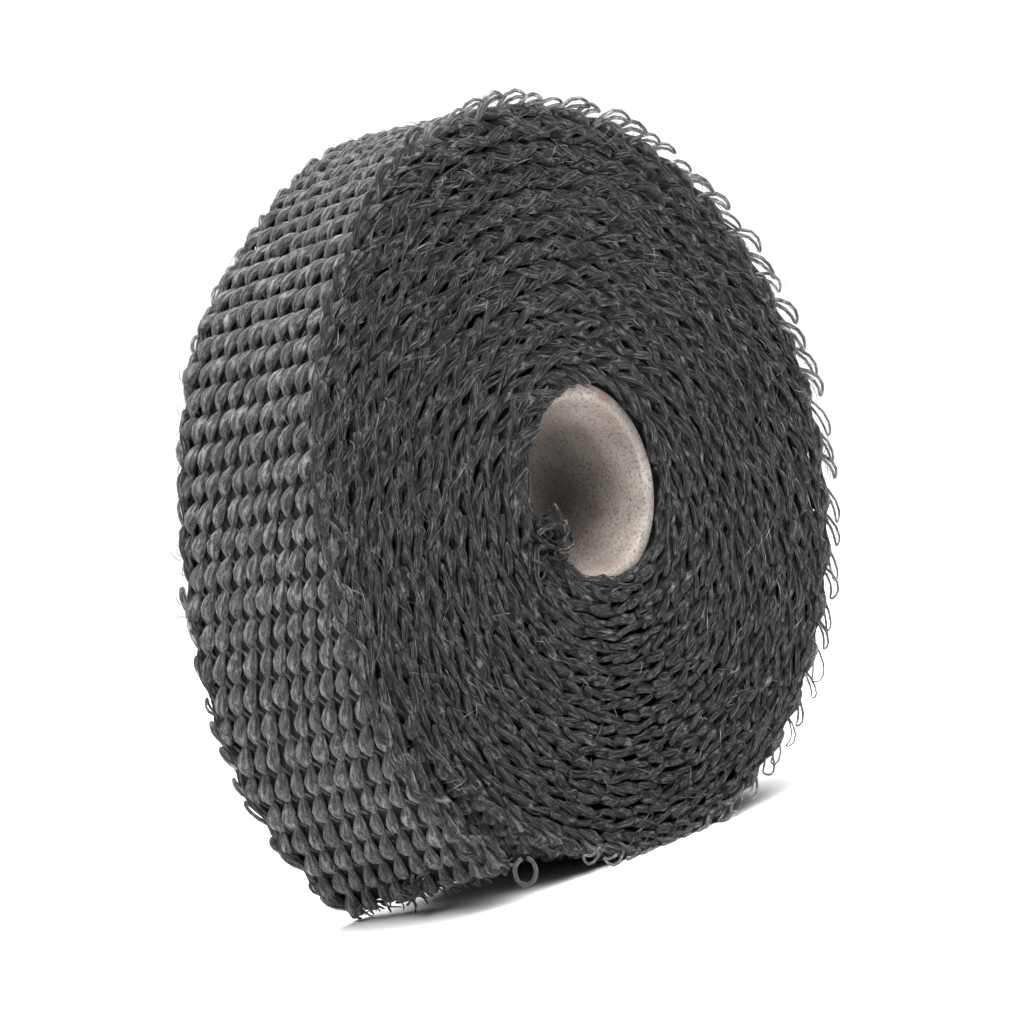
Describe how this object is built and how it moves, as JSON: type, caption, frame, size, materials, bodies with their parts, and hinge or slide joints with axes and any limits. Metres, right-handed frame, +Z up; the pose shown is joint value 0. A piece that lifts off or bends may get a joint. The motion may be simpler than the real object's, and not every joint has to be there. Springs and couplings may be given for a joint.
{
  "type": "exhaust heat wrap roll",
  "caption": "Woven glass-fibre tape wound in a spiral on a cardboard tube, for wrapping hot exhaust pipes; its loose outer end rests on the floor.",
  "frame": {"origin": "on the floor, under the middle of the roll's overall box", "axes": "+Z up, roll axis along Y with the near end facing -Y, +X to the right of the near end, so the loose end lies on the -X side"},
  "size_m": [0.0936, 0.025, 0.0917],
  "materials": {
    "woven_glass": "black woven glass-fibre yarn, slightly glossy along the strands",
    "cardboard": "bare grey-brown board with dark and reddish specks"
  },
  "bodies": {
    "root": {"wrap_tape": "woven_glass", "core_tube": "cardboard"}
  },
  "joints": []
}
